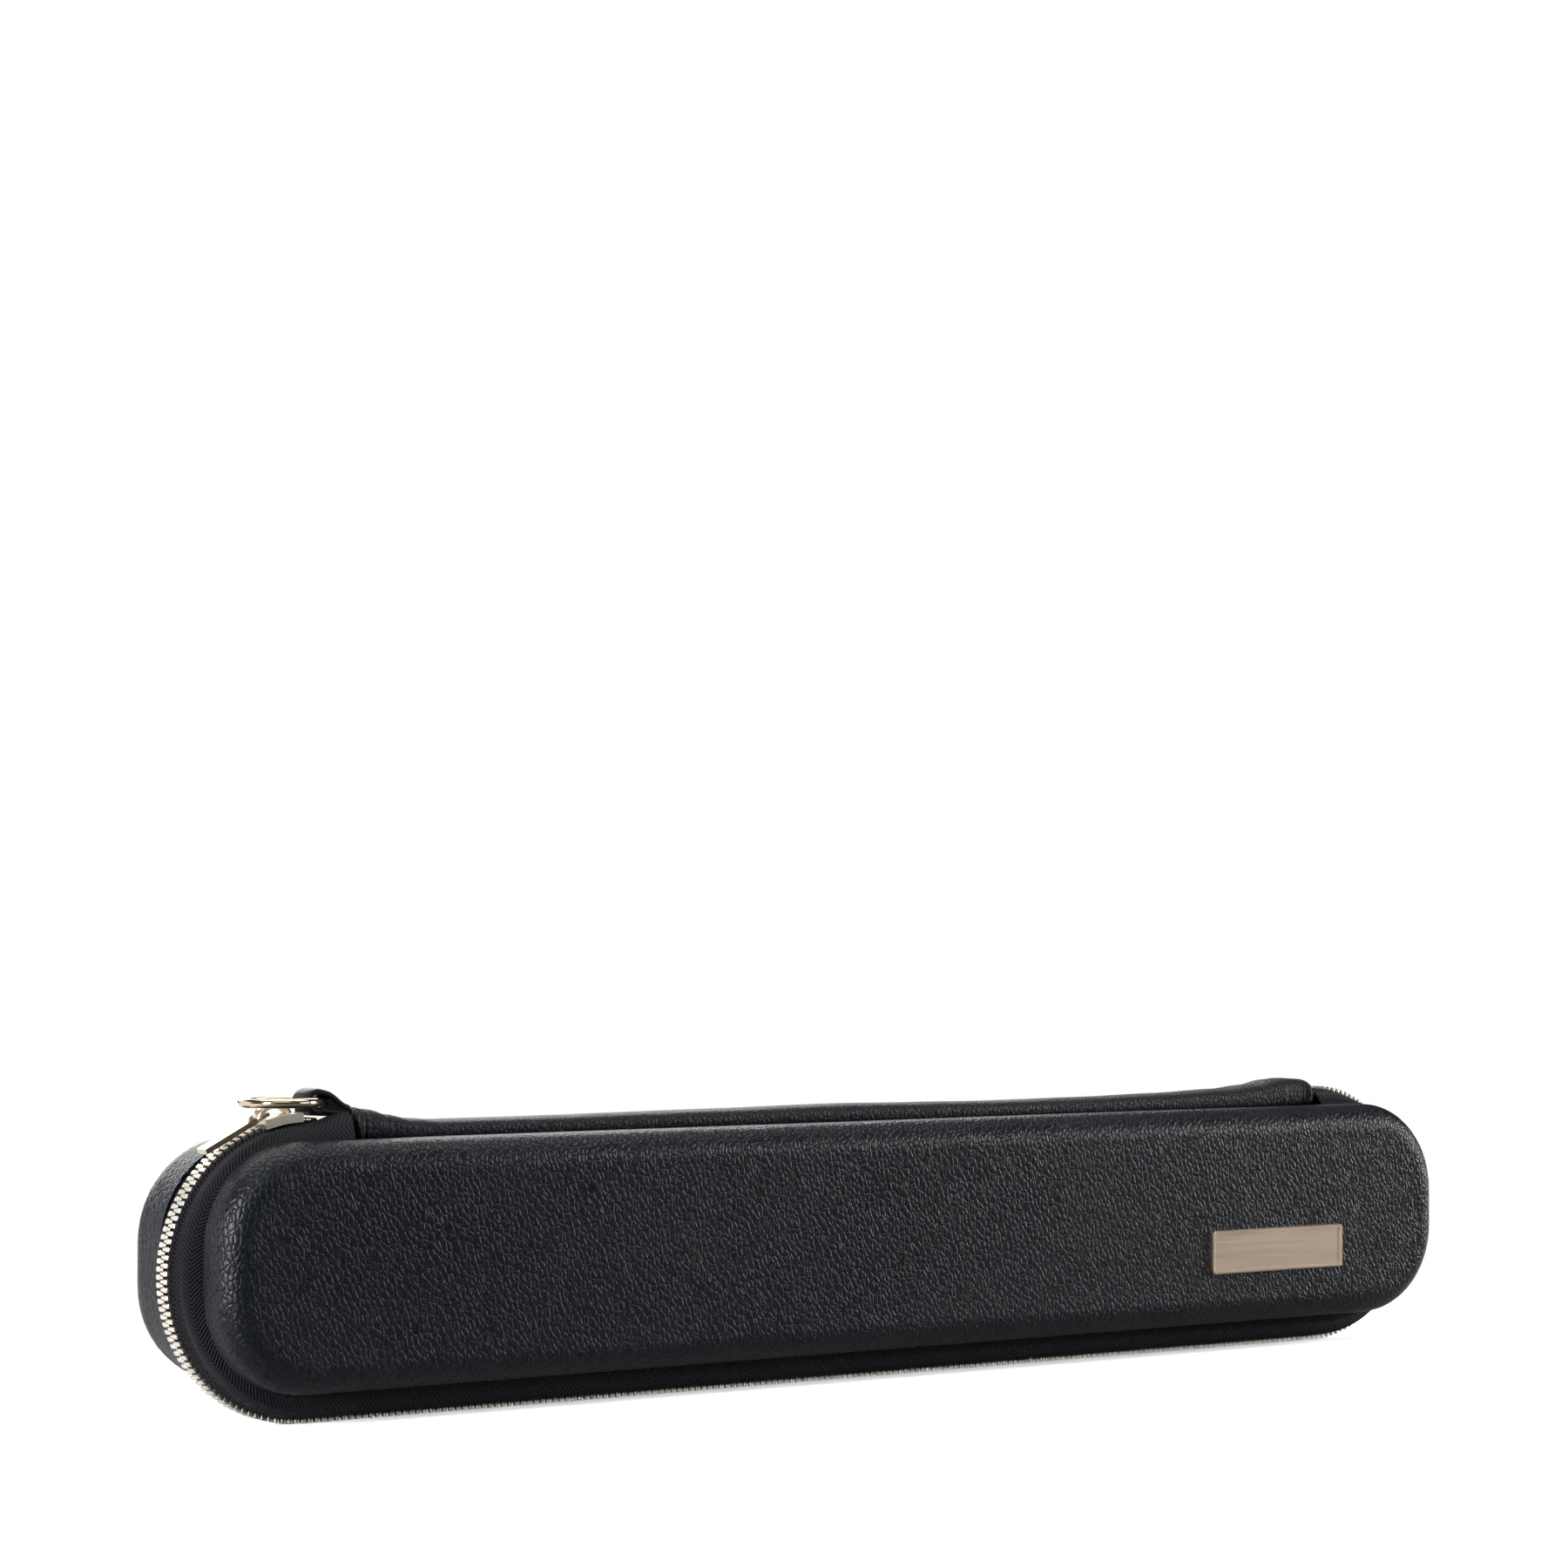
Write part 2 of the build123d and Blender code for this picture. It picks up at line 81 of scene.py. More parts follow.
def put(tree, kind, inputs=None, **settings):
    """Adds a node, sets its settings, and sets or links its inputs"""
    made = tree.nodes.new(kind)
    for key, value in settings.items():
        setattr(made, key, value)
    for key, value in (inputs or {}).items():
        if isinstance(value, bpy.types.NodeSocket):
            tree.links.new(value, made.inputs[key])
        else:
            made.inputs[key].default_value = value
    return made


def noise(tree, scale, detail):
    """Value of a noise that lies still on the object, its scale in spots per metre"""
    place = put(tree, "ShaderNodeTexCoord").outputs["Object"]
    spots = put(tree, "ShaderNodeTexNoise", {"Vector": place, "Scale": scale, "Detail": detail})
    return spots.outputs["Fac"]


def two_tone(tree, share, first, second):
    """Colour that runs from the first to the second as the share runs from 0 to 1"""
    return put(tree, "ShaderNodeMix", {"Factor": share, 6: first, 7: second}, data_type="RGBA").outputs[2]


def dress(finish, *names):
    """Gives CAD nodes that keep their own shape a finish"""
    for name in names:
        mesh = nodes[name].data
        mesh.materials.clear()
        mesh.materials.append(finish)


fibre, tree, shader = material("fibre_board", (0.02, 0.018, 0.016), 0.85)
flecks = noise(tree, scale=900.0, detail=6.0)
tone = two_tone(tree, flecks, (0.009, 0.008, 0.007, 1), (0.03, 0.026, 0.022, 1))
tree.links.new(tone, shader.inputs["Base Color"])
dress(fibre, "front_shell", "rear_shell", "front_shell_wall", "rear_shell_wall")

# Linings: short black plush glued to the inside of both trays. Its nap lies lighter
# in some places and darker in others.


def emboss(tree, shader, height, metres, strength=1.0):
    """Raises the surface of a shader by a height from 0 to 1, times a length"""
    raised = put(tree, "ShaderNodeBump", {"Strength": strength, "Distance": metres, "Height": height})
    tree.links.new(raised.outputs[0], shader.inputs["Normal"])


plush, tree, shader = material("plush_lining", (0.018, 0.018, 0.022), 0.85)
emboss(tree, shader, noise(tree, scale=2400.0, detail=5.0), metres=0.0004, strength=0.8)
nap = noise(tree, scale=35.0, detail=3.0)
tone = two_tone(tree, nap, (0.011, 0.011, 0.014, 1), (0.03, 0.03, 0.036, 1))
tree.links.new(tone, shader.inputs["Base Color"])
shader.inputs["Sheen Weight"].default_value = 0.6
shader.inputs["Sheen Roughness"].default_value = 0.35
dress(plush, "front_lining", "rear_lining")

# Binding: a strip of the same plush, glued round each tray's mouth over the rims of
# board and lining. From here on, lengths are in millimetres, and depths count from the
# plane in which the zip's teeth meet, towards the front or the rear.
ZIP_Y = -2.6
FRONT = -1
REAR = 1
TRAYS = ((FRONT, "lid", "front"), (REAR, "base", "rear"))
TRAY_HALF = 241.5
TRAY_MIDDLE = 46.0
TRAY_TALL = 36.0
TRAY_CORNER = 30.0
CORNER_STEPS = 12
# The strip's section, as distances in from the tray's outline and depths
binding_profile = [
    (1.9, 10.5), (2.3, 10.15), (3.3, 10.0), (4.3, 10.15), (4.75, 10.6), (4.75, 12.2), (4.45, 12.2),
    (4.4, 11.1), (1.9, 11.1),
]


def piece(name, points, faces, body, finish, replaces=(), smooth=True):
    """Object in millimetres from points and faces, riding on a body if one is given"""
    mesh = bpy.data.meshes.new(name)
    mesh.from_pydata([(x / 1000, y / 1000, z / 1000) for x, y, z in points], [], faces)
    mesh.validate()
    made = bpy.data.objects.new(name, mesh)
    bpy.context.scene.collection.objects.link(made)
    mesh.materials.append(finish)
    tidy = bmesh.new()
    tidy.from_mesh(mesh)
    bmesh.ops.recalc_face_normals(tidy, faces=tidy.faces)
    tidy.to_mesh(mesh)
    tidy.free()
    mesh.polygons.foreach_set("use_smooth", [smooth] * len(mesh.polygons))
    if body:
        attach(made, body)
    if replaces:
        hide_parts(*replaces)
    return made


for side, body, name in TRAYS:
    points = []
    faces = []
    corners = 4 * (CORNER_STEPS + 1)
    wide = len(binding_profile)
    for i in range(corners):
        quarter, part = divmod(i, CORNER_STEPS + 1)
        turn = radians(90 * quarter + 90 * part / CORNER_STEPS)
        hand = 1 if quarter in (0, 3) else -1
        lift = 1 if quarter in (0, 1) else -1
        for inset, depth in binding_profile:
            points.append((
                hand * (TRAY_HALF - TRAY_CORNER) + (TRAY_CORNER - inset) * cos(turn),
                ZIP_Y + side * depth,
                TRAY_MIDDLE + lift * (TRAY_TALL - TRAY_CORNER) + (TRAY_CORNER - inset) * sin(turn),
            ))
        here = i * wide
        there = (i + 1) % corners * wide
        for j in range(wide):
            k = (j + 1) % wide
            faces.append((here + j, here + k, there + k, there + j))
    piece(f"{name}_binding", points, faces, body, plush)

# Lid's padding: a soft cushion of plush over wadding, glued to the lid's lining. A thin
# skin just inside its solid is puffed up as cloth, and kept within the solid's box.
VOXEL = 0.003
PRESSURE = 4
PUFF_FRAMES = 15


def cushion(name, node, body, finish, shrink, cap):
    """Padded piece: a solid's shape drawn in by one length and puffed up by another at most"""
    low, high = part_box(node)
    source = nodes[node]
    mesh = source.data.copy()
    mesh.name = name
    mesh.transform(source.matrix_world)
    middle = (Vector(low) + Vector(high)) / 2
    for vertex in mesh.vertices:
        for axis in range(3):
            reach = (high[axis] - low[axis]) / 2
            vertex.co[axis] = middle[axis] + (vertex.co[axis] - middle[axis]) * (1 - shrink / reach)
    made = bpy.data.objects.new(name, mesh)
    bpy.context.scene.collection.objects.link(made)
    mesh.materials.clear()
    mesh.materials.append(finish)
    bpy.context.view_layer.objects.active = made
    voxels = made.modifiers.new("voxels", "REMESH")
    voxels.mode = "VOXEL"
    voxels.voxel_size = VOXEL
    bpy.ops.object.modifier_apply(modifier="voxels")
    rest = [vertex.co.copy() for vertex in made.data.vertices]
    cloth = made.modifiers.new("cloth", "CLOTH")
    cloth.settings.use_pressure = True
    cloth.settings.uniform_pressure_force = PRESSURE
    cloth.settings.effector_weights.gravity = 0
    for number in range(1, PUFF_FRAMES + 1):
        bpy.context.scene.frame_set(number)
    shaped = made.evaluated_get(bpy.context.evaluated_depsgraph_get())
    moved = [vertex.co.copy() for vertex in shaped.data.vertices]
    made.modifiers.remove(cloth)
    bpy.context.scene.frame_set(1)
    for vertex, old, new in zip(made.data.vertices, rest, moved):
        step = new - old
        if step.length > cap:
            step *= cap / step.length
        vertex.co = old + step
    for vertex in made.data.vertices:
        for axis in range(3):
            vertex.co[axis] = min(max(vertex.co[axis], low[axis]), high[axis])
    smoother = made.modifiers.new("smoother", "SMOOTH")
    smoother.iterations = 4
    bpy.ops.object.modifier_apply(modifier="smoother")
    rounder = made.modifiers.new("rounder", "SUBSURF")
    rounder.render_levels = 1
    rounder.levels = 1
    made.data.polygons.foreach_set("use_smooth", [True] * len(made.data.polygons))
    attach(made, body)
    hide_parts(node)


cushion("lid_cushion", "lid_pad", "lid", plush, shrink=0.0012, cap=0.0025)

# Baton rests: two blocks of firm foam under plush, glued to the rear tray's lining and
# notched for the grips and the shafts of two batons.
for hand in ("left", "right"):
    rest_name = f"baton_rest_{hand}"
    cushion(f"{rest_name}_plush", rest_name, "base", plush, shrink=0.0006, cap=0.0012)

# Straps: two flat bands of black elastic with fine ribs along them. They bow over the
# batons' shafts, and their ends lie flat on the rear tray's lining.
STRAP_X = 96
STRAP_WIDE = 20
STRAP_THICK = 1.1
STRAP_EDGE = 0.25
STRAP_LOW = 19.0
STRAP_HIGH = 73.0
STRAP_END = 8.2
STRAP_SLOPE = 6.5
STRAP_BOW = 11.5
STRAP_SLACK = 0.35
STRAP_STEPS = 72
STRAP_COLUMNS = 8
LINING_Y = 25.4

elastic, tree, shader = material("ribbed_elastic", (0.012, 0.012, 0.013), 0.6)
place = put(tree, "ShaderNodeTexCoord").outputs["Object"]
ribs = put(
    tree, "ShaderNodeTexWave", {"Vector": place, "Scale": 190.0, "Distortion": 0.0}, bands_direction="X"
).outputs["Fac"]
rows = put(
    tree, "ShaderNodeTexWave", {"Vector": place, "Scale": 420.0, "Distortion": 0.3}, bands_direction="Z"
).outputs["Fac"]
both = put(tree, "ShaderNodeMath", {0: rows, 1: 0.4, 2: ribs}, operation="MULTIPLY_ADD")
emboss(tree, shader, both.outputs[0], metres=0.0002, strength=0.9)


def ease(share):
    """Smooth step from 0 to 1"""
    share = min(max(share, 0.0), 1.0)
    return share * share * (3 - 2 * share)


def bow(z):
    """How far a strap stands off the lining at a height"""
    from_end = min(z - STRAP_LOW, STRAP_HIGH - z)
    slack = STRAP_SLACK * sin(pi * (z - STRAP_LOW) / (STRAP_HIGH - STRAP_LOW))
    return STRAP_BOW * ease((from_end - STRAP_END) / STRAP_SLOPE) + slack


def tube_faces(rings, wide, capped=True):
    """Faces between rings of points that follow one another, with a cap on each end"""
    faces = []
    for i in range(rings - 1):
        for j in range(wide):
            k = (j + 1) % wide
            faces.append((i * wide + j, i * wide + k, (i + 1) * wide + k, (i + 1) * wide + j))
    if capped:
        faces.append(tuple(range(wide)))
        faces.append(tuple((rings - 1) * wide + j for j in range(wide)))
    return faces


strap_ring = [(j, 0) for j in range(STRAP_COLUMNS + 1)] + [(j, 1) for j in range(STRAP_COLUMNS, -1, -1)]
for hand, name in ((-1, "left"), (1, "right")):
    points = []
    for i in range(STRAP_STEPS + 1):
        z = STRAP_LOW + (STRAP_HIGH - STRAP_LOW) * i / STRAP_STEPS
        for j, outer in strap_ring:
            x = hand * STRAP_X - STRAP_WIDE / 2 + STRAP_WIDE * j / STRAP_COLUMNS
            thinner = STRAP_EDGE if j in (0, STRAP_COLUMNS) else 0.0
            points.append((x, LINING_Y - bow(z) - STRAP_THICK * outer + thinner * (2 * outer - 1), z))
    faces = tube_faces(STRAP_STEPS + 1, len(strap_ring))
    piece(f"elastic_band_{name}", points, faces, "base", elastic, [f"elastic_strap_{name}"])

# Rivets: one through each end of a strap, turned from the same pale gold metal as the
# zip's teeth. On a tooth, a painted shade darkens what lies sunk in the tape.


def group(name, inputs, outputs):
    """Node group with named sockets; inputs are (name, kind, value)"""
    made = bpy.data.node_groups.new(name, "ShaderNodeTree")
    for label, kind, value in inputs:
        socket = made.interface.new_socket(name=label, in_out="INPUT", socket_type=kind)
        if value is not None:
            socket.default_value = value
    for label, kind in outputs:
        made.interface.new_socket(name=label, in_out="OUTPUT", socket_type=kind)
    return made, made.nodes.new("NodeGroupInput"), made.nodes.new("NodeGroupOutput")


smears, smears_in, smears_out = group(
    "metal_smears",
    [
        ("Scale", "NodeSocketFloat", 300.0), ("Detail", "NodeSocketFloat", 4.0),
        ("Smoothest", "NodeSocketFloat", 0.3), ("Roughest", "NodeSocketFloat", 0.4),
    ],
    [("Spots", "NodeSocketFloat"), ("Roughness", "NodeSocketFloat")],
)
spots = noise(smears, smears_in.outputs["Scale"], smears_in.outputs["Detail"])
dulled = put(
    smears, "ShaderNodeMapRange",
    {
        "Value": spots, "From Min": 0.3, "From Max": 0.75,
        "To Min": smears_in.outputs["Smoothest"], "To Max": smears_in.outputs["Roughest"],
    },
)
smears.links.new(spots, smears_out.inputs["Spots"])
smears.links.new(dulled.outputs[0], smears_out.inputs["Roughness"])


def metal(name, colour, rough, scale, detail, smoothest, roughest):
    """Bare metal, smoother and rougher from place to place; returns the noise's value too"""
    made, tree, shader = material(name, colour, rough, metallic=1.0)
    values = {"Scale": scale, "Detail": detail, "Smoothest": smoothest, "Roughest": roughest}
    look = put(tree, "ShaderNodeGroup", values, node_tree=smears)
    tree.links.new(look.outputs["Roughness"], shader.inputs["Roughness"])
    return made, tree, shader, look.outputs["Spots"]


pale_gold, tree, shader, dents = metal(
    "pale_gold", (0.96, 0.9, 0.79), 0.45, scale=900.0, detail=4.0, smoothest=0.34, roughest=0.46
)
emboss(tree, shader, dents, metres=0.00005, strength=0.05)
sunk = put(tree, "ShaderNodeAttribute", attribute_name="sunk", attribute_type="GEOMETRY")
# Painted shade: a tooth's colour turns near black from 0.6 to 1.5 mm in from its outer face, where it sinks
# between its neighbours towards the tape
sunk_shade = put(tree, "ShaderNodeMapRange", {"Value": sunk.outputs["Fac"], "From Min": 0.6, "From Max": 1.5})
tone = two_tone(tree, sunk_shade.outputs[0], (0.98, 0.93, 0.83, 1), (0.09, 0.075, 0.055, 1))
tree.links.new(tone, shader.inputs["Base Color"])
dress(pale_gold, "strap_rivets")

# Leather covers: dark blue-grey leather, moulded over each tray and glued. Its pebbles
# are about 1.6 mm across, longer than wide and parted by fine creases that shine less.
grain, grain_in, grain_out = group(
    "pebble_grain",
    [
        ("Cells", "NodeSocketFloat", 600.0), ("Depth", "NodeSocketFloat", 0.16),
        ("Smoothest", "NodeSocketFloat", 0.3), ("Roughest", "NodeSocketFloat", 0.4),
    ],
    [
        ("Colour", "NodeSocketColor"), ("Crease", "NodeSocketFloat"),
        ("Roughness", "NodeSocketFloat"), ("Normal", "NodeSocketVector"),
    ],
)
place = put(grain, "ShaderNodeTexCoord").outputs["Object"]
turned = put(
    grain, "ShaderNodeMapping", {"Vector": place, "Rotation": (0.2, 0.5, 0.1), "Scale": (1.0, 1.0, 0.74)}
)
wander = put(grain, "ShaderNodeTexNoise", {"Vector": turned.outputs[0], "Scale": 260.0, "Detail": 2.0})
shift = put(grain, "ShaderNodeVectorMath", {0: wander.outputs["Color"], "Scale": 0.0009}, operation="SCALE")
bent = put(grain, "ShaderNodeVectorMath", {0: turned.outputs[0], 1: shift.outputs[0]}, operation="ADD")
cells = put(
    grain, "ShaderNodeTexVoronoi", {"Vector": bent.outputs[0], "Scale": grain_in.outputs["Cells"]},
    feature="DISTANCE_TO_EDGE",
)
crease = put(
    grain, "ShaderNodeMapRange", {"Value": cells.outputs["Distance"], "From Min": 0.0, "From Max": 0.1},
    interpolation_type="SMOOTHSTEP",
)
level = put(
    grain, "ShaderNodeMapRange", {"Value": cells.outputs["Distance"], "From Min": 0.0, "From Max": 0.36}
)
dome = put(grain, "ShaderNodeMath", {0: level.outputs[0], 1: 0.5}, operation="POWER")
pores = noise(grain, scale=3200.0, detail=3.0)
height = put(grain, "ShaderNodeMath", {0: pores, 1: 0.16, 2: dome.outputs[0]}, operation="MULTIPLY_ADD")
deep = put(grain, "ShaderNodeMath", {0: grain_in.outputs["Depth"], 1: 0.001}, operation="MULTIPLY")
raised = put(
    grain, "ShaderNodeBump", {"Strength": 1.0, "Distance": deep.outputs[0], "Height": height.outputs[0]}
)
patches = put(
    grain, "ShaderNodeMapRange",
    {
        "Value": noise(grain, scale=22.0, detail=3.0), "From Min": 0.3, "From Max": 0.7,
        "To Min": grain_in.outputs["Smoothest"], "To Max": grain_in.outputs["Roughest"],
    },
)
# Painted shade: the colour is darker in the creases between the pebbles
tone = two_tone(grain, crease.outputs[0], (0.0004, 0.0006, 0.001, 1), (0.0018, 0.004, 0.0094, 1))
grain.links.new(tone, grain_out.inputs["Colour"])
grain.links.new(crease.outputs[0], grain_out.inputs["Crease"])
grain.links.new(patches.outputs[0], grain_out.inputs["Roughness"])
grain.links.new(raised.outputs[0], grain_out.inputs["Normal"])

dust, dust_in, dust_out = group(
    "dust_specks", [("Colour", "NodeSocketColor", None)], [("Colour", "NodeSocketColor")]
)
place = put(dust, "ShaderNodeTexCoord").outputs["Object"]
dots = put(dust, "ShaderNodeTexVoronoi", {"Vector": place, "Scale": 95.0}, feature="F1")
small = put(dust, "ShaderNodeMath", {0: dots.outputs["Distance"], 1: 0.018}, operation="LESS_THAN")
chance = put(dust, "ShaderNodeSeparateColor", {0: dots.outputs["Color"]})
rare = put(dust, "ShaderNodeMath", {0: chance.outputs[0], 1: 0.9}, operation="GREATER_THAN")
speck = put(dust, "ShaderNodeMath", {0: small.outputs[0], 1: rare.outputs[0]}, operation="MULTIPLY")
dusty = two_tone(dust, speck.outputs[0], dust_in.outputs["Colour"], (0.5, 0.5, 0.48, 1))
dust.links.new(dusty, dust_out.inputs["Colour"])


def leather(name, cells, depth, rough):
    """Pebbled leather; cells is pebbles per metre, and depth is in millimetres"""
    made, tree, shader = material(name, (0.03, 0.033, 0.04), rough)
    values = {"Cells": cells, "Depth": depth, "Smoothest": rough - 0.05, "Roughest": rough + 0.06}
    look = put(tree, "ShaderNodeGroup", values, node_tree=grain)
    specks = put(tree, "ShaderNodeGroup", {"Colour": look.outputs["Colour"]}, node_tree=dust)
    tree.links.new(specks.outputs["Colour"], shader.inputs["Base Color"])
    tree.links.new(look.outputs["Roughness"], shader.inputs["Roughness"])
    tree.links.new(look.outputs["Normal"], shader.inputs["Normal"])
    gloss = put(tree, "ShaderNodeMapRange", {"Value": look.outputs["Crease"], "To Min": 0.3, "To Max": 0.5})
    tree.links.new(gloss.outputs[0], shader.inputs["Specular IOR Level"])
    return made


dress(leather("case_leather", cells=600.0, depth=0.17, rough=0.37), "front_cover", "rear_cover")

# Loop: a narrow strap of smooth black leather, folded round the ring, its two ends laid
# together over a filler of the same leather and sewn under the spine's left end.
LOOP_X = -199.3
LOOP_Z = 92.6
LOOP_RADIUS = 2.95
LOOP_FROM = -58
LOOP_ROUND = 240
LOOP_STEPS = 16
FILLER_HALF = 4.4

smooth_leather, tree, shader = material("loop_leather", (0.003, 0.003, 0.004), 0.55)
emboss(tree, shader, noise(tree, scale=420.0, detail=3.0), metres=0.0003, strength=0.35)
shader.inputs["Specular IOR Level"].default_value = 0.2
shader.inputs["Coat Weight"].default_value = 0.3
shader.inputs["Coat Roughness"].default_value = 0.1

# The strap's route, as x and height: in along the bottom, round the ring and back on top
route = [(-188.0, 88.9), (-190.0, 89.0), (-192.0, 89.2), (-194.0, 89.4), (-196.0, 89.6)]
for i in range(LOOP_STEPS + 1):
    turn = radians(LOOP_FROM - LOOP_ROUND * i / LOOP_STEPS)
    route.append((LOOP_X + LOOP_RADIUS * cos(turn), LOOP_Z + LOOP_RADIUS * sin(turn)))
route += [(-196.2, 94.9), (-194.6, 94.0), (-193.0, 92.8), (-191.6, 91.6), (-190.0, 90.8), (-188.0, 90.4)]
# The folded strap's section, as distances out from its route and across it
loop_section = [
    (-0.8, -4.3), (-0.6, -4.75), (0.7, -4.75), (0.95, -4.3), (1.1, 0.0), (0.95, 4.3), (0.7, 4.75),
    (-0.6, 4.75), (-0.8, 4.3), (-0.8, 0.0),
]
points = []
for i, (x, z) in enumerate(route):
    before = route[max(i - 1, 0)]
    after = route[min(i + 1, len(route) - 1)]
    length = hypot(after[0] - before[0], after[1] - before[1])
    out = (-(after[1] - before[1]) / length, (after[0] - before[0]) / length)
    for thick, y in loop_section:
        points.append((x + out[0] * thick, ZIP_Y + y, z + out[1] * thick))
faces = tube_faces(len(route), len(loop_section))
loop_strap = piece("loop_strap", points, faces, "spine", smooth_leather, ["leather_loop"])
rounder = loop_strap.modifiers.new("rounder", "SUBSURF")
rounder.levels = 2
rounder.render_levels = 2

filler_outline = [
    (-202.3, 88.7), (-202.0, 90.6), (-198.8, 90.9), (-196.9, 90.9), (-196.1, 91.6), (-196.3, 93.3),
    (-195.2, 93.4), (-193.4, 92.0), (-191.8, 90.8), (-188.2, 90.2), (-188.2, 88.4), (-192.0, 88.4),
    (-197.0, 88.4),
]
points = [(x, ZIP_Y + y, z) for y in (-FILLER_HALF, FILLER_HALF) for x, z in filler_outline]
faces = tube_faces(2, len(filler_outline))
piece("loop_filler", points, faces, "spine", smooth_leather, ["leather_loop"], smooth=False)

# Carry ring: a closed ring of round wire, polished and plated pale gold. It hangs in
# the loop and turns over in it.
polished = metal(
    "polished_gold", (0.8, 0.67, 0.49), 0.11, scale=300.0, detail=5.0, smoothest=0.11, roughest=0.26
)[0]
dress(polished, "carry_ring")

# Spine: a padded roll of the covers' leather, sewn round a stiff stay that runs along
# the top between the two trays. It swells at its ends, where a turned and stitched band
# closes each one.
SPINE_LEFT = -188.5
SPINE_RIGHT = 198.0
SPINE_LOW = 80.3
SPINE_HALF = 8.4
SPINE_SQUARE = 0.62
SPINE_END = 12
SPINE_AROUND = 28
spine_leather = leather("spine_leather", cells=620.0, depth=0.2, rough=0.52)
# Heights of the spine's top at places along it
crest = [
    (-188.5, 89.6), (-186.5, 90.5), (-182.0, 90.0), (-176.0, 88.4), (-168.0, 87.0), (-157.0, 86.3),
    (-122.0, 86.3), (-52.0, 86.7), (-6.0, 87.1), (30.0, 86.7), (56.0, 86.4), (100.0, 86.6), (133.0, 87.1),
    (160.0, 87.9), (174.0, 89.0), (184.0, 90.6), (190.0, 91.0), (195.0, 90.6), (198.0, 89.4),
]


def crest_at(x):
    """Height of the spine's top at a place along it"""
    for (x0, z0), (x1, z1) in zip(crest, crest[1:]):
        if x <= x1:
            return z0 + (z1 - z0) * ease((x - x0) / (x1 - x0))
    return crest[-1][1]


def square_off(value, power):
    """Sine or cosine raised to a power with its sign kept, to square a round section off"""
    return abs(value) ** power * (1 if value > 0 else -1)


def hump(gap, middle, half):
    """Rise to 1 at a distance from the spine's end, within half a width of it"""
    return max(0.0, 1 - ((gap - middle) / half) ** 2)


def end_swell(x):
    """The roll narrows into its end, with a turned band and two creases beside it"""
    gap = min(x - SPINE_LEFT, SPINE_RIGHT - x)
    narrowed = 1.4 * max(0.0, 1 - gap / 0.9) ** 2
    creases = 0.45 * hump(gap, 3.3, 0.6) + 0.25 * hump(gap, 5.2, 0.5)
    return 0.35 * hump(gap, 1.5, 1.3) - narrowed - creases


def roll(name, start, stop, replaces, step=1.5, swell=None):
    """Part of the spine: rounded sections, each swollen outwards by a given function"""
    count = ceil((stop - start) / step)
    points = []
    for i in range(count + 1):
        x = start + (stop - start) * i / count
        top = crest_at(x)
        grow = swell(x) if swell else 0.0
        half_wide = SPINE_HALF + grow
        half_tall = (top - SPINE_LOW) / 2 + grow
        for j in range(SPINE_AROUND):
            turn = 2 * pi * j / SPINE_AROUND
            y = half_wide * square_off(cos(turn), SPINE_SQUARE)
            z = half_tall * square_off(sin(turn), SPINE_SQUARE)
            points.append((x, ZIP_Y + y, (top + SPINE_LOW) / 2 + z))
    faces = tube_faces(count + 1, SPINE_AROUND)
    piece(name, points, faces, "spine", spine_leather, replaces)


LEFT_BAND = SPINE_LEFT + SPINE_END
RIGHT_BAND = SPINE_RIGHT - SPINE_END
roll("spine_roll", LEFT_BAND, RIGHT_BAND, ["spine_cover"])
roll("spine_roll_left_end", SPINE_LEFT, LEFT_BAND, ["spine_end_left"], step=0.3, swell=end_swell)
roll("spine_roll_right_end", RIGHT_BAND, SPINE_RIGHT, ["spine_end_right"], step=0.3, swell=end_swell)
dress(smooth_leather, "spine_core")

# Hinge webs: two strips of the spine's leather, pared thin. Each is glued under the
# spine along one edge and into a tray's rim along the other.
WEB_LEFT = -174.5
WEB_RIGHT = 184.0
WEB_INNER = 8.0
WEB_OUTER = 13.0
WEB_LOW = 80.9
WEB_THICK = 0.9
WEB_SAG = 0.35
WEB_STEPS = 14
for side, body, name in TRAYS:
    points = []
    for x in (WEB_LEFT, WEB_RIGHT):
        for up in (0.0, WEB_THICK):
            for i in range(WEB_STEPS + 1):
                depth = WEB_INNER + (WEB_OUTER - WEB_INNER) * i / WEB_STEPS
                points.append((x, ZIP_Y + side * depth, WEB_LOW + up - WEB_SAG * sin(pi * i / WEB_STEPS)))
    row = WEB_STEPS + 1
    faces = []
    for i in range(WEB_STEPS):
        for a in (i, row + i):
            faces.append((a, a + 1, 2 * row + a + 1, 2 * row + a))
        for a in (i, 2 * row + i):
            faces.append((a, a + 1, row + a + 1, row + a))
    for i in (0, WEB_STEPS):
        faces.append((i, row + i, 3 * row + i, 2 * row + i))
    replaced = [f"hinge_web_{name}"]
    web = piece(f"{name}_hinge_leather", points, faces, None, spine_leather, replaced)
    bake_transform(web)

# Zip tape: black twill in a fine herringbone, its threads 1.4 mm apart. Each side's tape
# is sewn into the edge of its tray and bulges from there to the teeth, right round the
# case from the spine's right end to its left end.
LONG = 496.0
HIGH = 88.0
END_X = LONG / 2 - HIGH / 2
ROUND = HIGH / 2
ARC = pi * ROUND
LINE = 2 * END_X
PATH_END = 2 * ARC + LINE
TAPE_FROM = -4.0
TAPE_TO = PATH_END + 13.5
TAPE_LAP = 0.02
END_TEETH = 60
TAIL_TEETH = 16
TOOTH_STEP = 180.0 / END_TEETH
TAIL_FROM = PATH_END - ROUND * radians(TAIL_TEETH * TOOTH_STEP)
RIDGE_X = -207.5
RIDGE_LONG = 15
RIDGE_UP = 3.4
RIDGE_INNER = 4.4
RIDGE_INNER_SLOPE = 1.6
RIDGE_OUTER = 11.0
RIDGE_OUTER_SLOPE = 3.0

